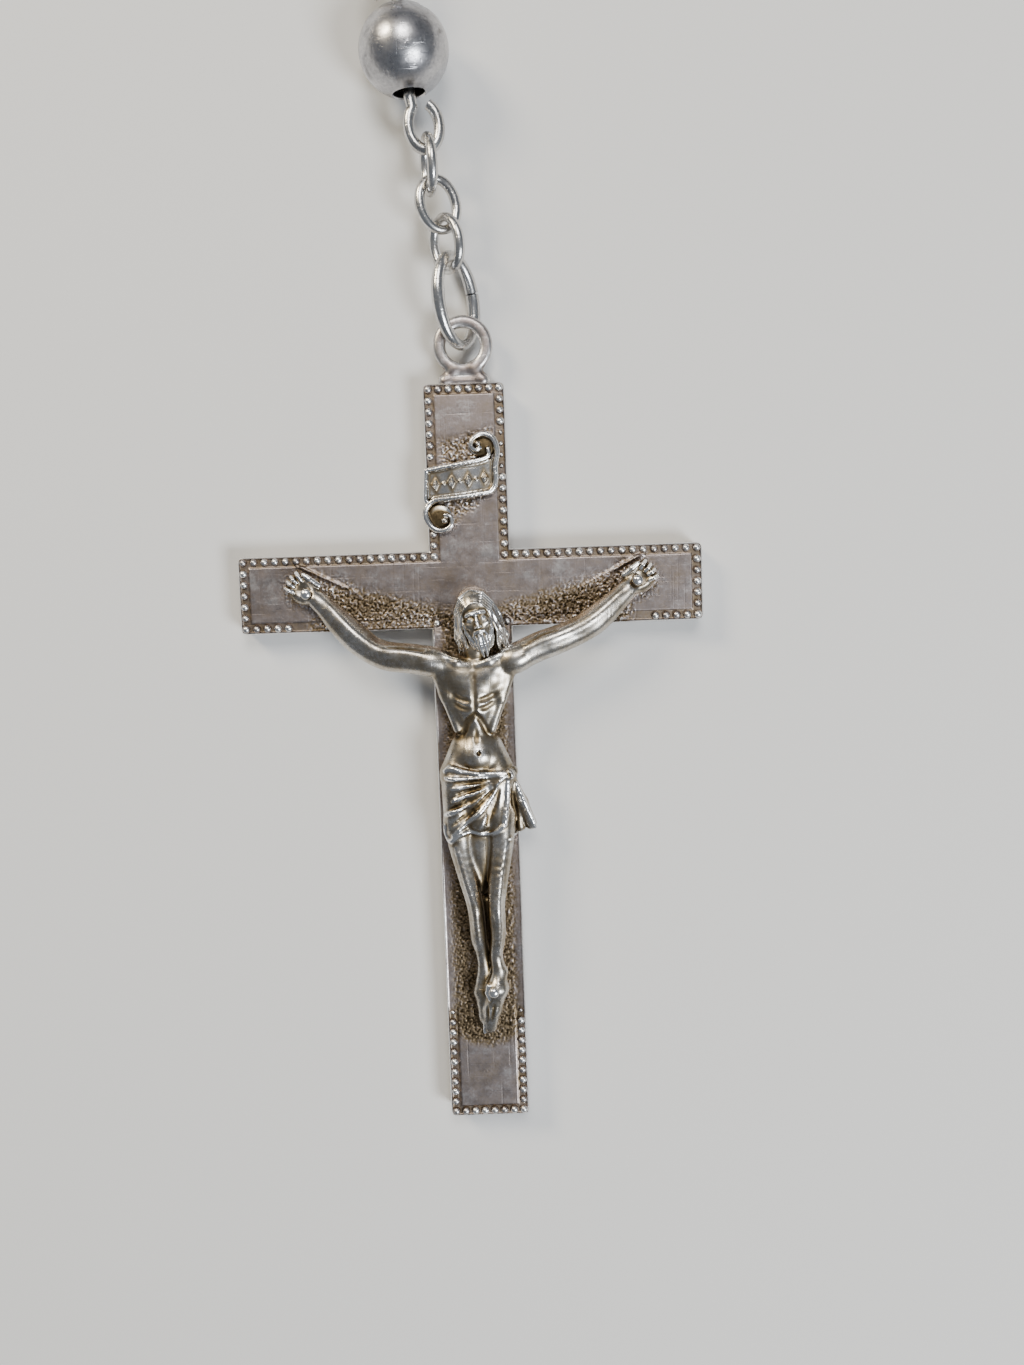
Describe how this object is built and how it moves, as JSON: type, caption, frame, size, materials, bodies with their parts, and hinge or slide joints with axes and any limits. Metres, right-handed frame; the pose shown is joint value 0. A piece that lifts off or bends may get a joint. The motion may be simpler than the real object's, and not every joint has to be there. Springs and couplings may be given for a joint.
{
  "type": "rosary",
  "caption": "Silver rosary lying flat: bordered crucifix with a riveted figure, oval chain links, round hollow beads, a plain centre medal and a beaded loop.",
  "frame": {"origin": "on the crucifix's flat back, under the crossing of its arms", "axes": "+Y up the crucifix towards the bail and the beads, +Z out of the crucifix's front, +X to the right seen from the front"},
  "size_m": [0.0864, 0.1798, 0.0059],
  "materials": {
    "cross_silver": "worn cast silver with a brownish patina, polished on its edges",
    "figure_silver": "cast silver, bright on the raised places and dark in the folds",
    "chain_silver": "drawn silver wire, finely scratched",
    "bead_silver": "satin grey silver with fine scratches and pits",
    "medal_silver": "cast silver, satin"
  },
  "bodies": {
    "loop": {"centre_medal": "medal_silver", "decade_1": "bead_silver", "decade_2": "bead_silver", "decade_3": "bead_silver", "decade_4": "bead_silver", "decade_5": "bead_silver", "loop_pin_1": "chain_silver", "loop_pin_2": "chain_silver", "loop_pin_3": "chain_silver", "loop_pin_4": "chain_silver", "loop_father_bead_1": "bead_silver", "loop_father_bead_2": "bead_silver", "loop_father_bead_3": "bead_silver", "loop_father_bead_4": "bead_silver"},
    "drop_link_3": {"drop_link_3": "chain_silver"},
    "father_pin_2": {"our_father_pin_2": "chain_silver"},
    "father_bead_2": {"our_father_bead_2": "bead_silver"},
    "drop_link_2": {"drop_link_2": "chain_silver"},
    "mary_pin_3": {"hail_mary_pin_3": "chain_silver"},
    "mary_bead_3": {"hail_mary_bead_3": "bead_silver"},
    "mary_pin_2": {"hail_mary_pin_2": "chain_silver"},
    "mary_bead_2": {"hail_mary_bead_2": "bead_silver"},
    "mary_pin_1": {"hail_mary_pin_1": "chain_silver"},
    "mary_bead_1": {"hail_mary_bead_1": "bead_silver"},
    "drop_link_1": {"drop_link_1": "chain_silver"},
    "eye_pin_1": {"eye_pin_1": "chain_silver"},
    "father_bead_1": {"our_father_bead_1": "bead_silver"},
    "chain_link_1": {"chain_link_1": "chain_silver"},
    "chain_link_2": {"chain_link_2": "chain_silver"},
    "chain_link_3": {"chain_link_3": "chain_silver"},
    "jump_ring": {"jump_ring": "chain_silver"},
    "crucifix": {"cross": "cross_silver", "bail_ring": "cross_silver", "corpus": "figure_silver", "titulus_scroll": "figure_silver", "left_hand_nail": "figure_silver", "right_hand_nail": "figure_silver", "foot_nail": "figure_silver"}
  },
  "joints": [
    {"name": "drop_lift", "type": "hinge", "parent": "loop", "child": "drop_link_3", "pos_m": [-0.00653, 0.09052, 0.00295], "axis": [-1, 0, 0], "range_deg": [0, 35]},
    {"name": "father_pin_2_swing", "type": "hinge", "parent": "drop_link_3", "child": "father_pin_2", "pos_m": [-0.00649, 0.0879, 0.00295], "axis": [0, 0, 1], "range_deg": [-30, 30]},
    {"name": "father_bead_2_spin", "type": "hinge", "parent": "father_pin_2", "child": "father_bead_2", "pos_m": [-0.00635, 0.0824, 0.00295], "axis": [0.0861, 0.9963, 0], "continuous": true},
    {"name": "drop_link_2_lift", "type": "hinge", "parent": "father_pin_2", "child": "drop_link_2", "pos_m": [-0.00616, 0.07606, 0.00295], "axis": [0.9994, -0.0339, 0], "range_deg": [-35, 0]},
    {"name": "mary_pin_3_swing", "type": "hinge", "parent": "drop_link_2", "child": "mary_pin_3", "pos_m": [-0.0061, 0.07349, 0.00295], "axis": [0, 0, 1], "range_deg": [-30, 30]},
    {"name": "mary_bead_3_spin", "type": "hinge", "parent": "mary_pin_3", "child": "mary_bead_3", "pos_m": [-0.00588, 0.06879, 0.00295], "axis": [-0.0454, 0.999, 0], "continuous": true},
    {"name": "mary_pin_2_lift", "type": "hinge", "parent": "mary_pin_3", "child": "mary_pin_2", "pos_m": [-0.0056, 0.06325, 0.00295], "axis": [-0.996, -0.0889, 0], "range_deg": [0, 35]},
    {"name": "mary_bead_2_spin", "type": "hinge", "parent": "mary_pin_2", "child": "mary_bead_2", "pos_m": [-0.00536, 0.05856, 0.00295], "axis": [-0.0558, 0.9984, 0], "continuous": true},
    {"name": "mary_pin_1_lift", "type": "hinge", "parent": "mary_pin_2", "child": "mary_pin_1", "pos_m": [-0.00502, 0.05303, 0.00295], "axis": [0.9951, 0.0993, 0], "range_deg": [-35, 0]},
    {"name": "mary_bead_1_spin", "type": "hinge", "parent": "mary_pin_1", "child": "mary_bead_1", "pos_m": [-0.00474, 0.04834, 0.00295], "axis": [-0.0663, 0.9978, 0], "continuous": true},
    {"name": "drop_link_1_lift", "type": "hinge", "parent": "mary_pin_1", "child": "drop_link_1", "pos_m": [-0.00434, 0.04281, 0.00295], "axis": [-0.994, -0.1097, 0], "range_deg": [0, 35]},
    {"name": "eye_pin_1_swing", "type": "hinge", "parent": "drop_link_1", "child": "eye_pin_1", "pos_m": [-0.00417, 0.04026, 0.00295], "axis": [0, 0, 1], "range_deg": [-30, 30]},
    {"name": "father_bead_1_spin", "type": "hinge", "parent": "eye_pin_1", "child": "father_bead_1", "pos_m": [-0.003, 0.03487, 0.00295], "axis": [-0.0872, 0.9962, 0], "continuous": true},
    {"name": "chain_link_1_lift", "type": "hinge", "parent": "eye_pin_1", "child": "chain_link_1", "pos_m": [-0.00173, 0.02866, 0.00285], "axis": [0.9806, 0.1383, -0.139], "range_deg": [-35, 0]},
    {"name": "chain_link_2_swing", "type": "hinge", "parent": "chain_link_1", "child": "chain_link_2", "pos_m": [-0.00162, 0.02598, 0.00275], "axis": [-0.2429, 0.0208, -0.9698], "range_deg": [-30, 30]},
    {"name": "chain_link_3_lift", "type": "hinge", "parent": "chain_link_2", "child": "chain_link_3", "pos_m": [-0.0008, 0.0236, 0.00255], "axis": [-0.9112, -0.2302, 0.3416], "range_deg": [0, 11]},
    {"name": "jump_ring_swing", "type": "hinge", "parent": "chain_link_3", "child": "jump_ring", "pos_m": [-0.00052, 0.02105, 0.00242], "axis": [0.6918, 0.065, 0.7191], "range_deg": [-35, 0]},
    {"name": "crucifix_swing", "type": "hinge", "parent": "jump_ring", "child": "crucifix", "pos_m": [0.00005, 0.0163, 0.00152], "axis": [-0.6261, -0.1851, 0.7574], "range_deg": [0, 6]}
  ]
}
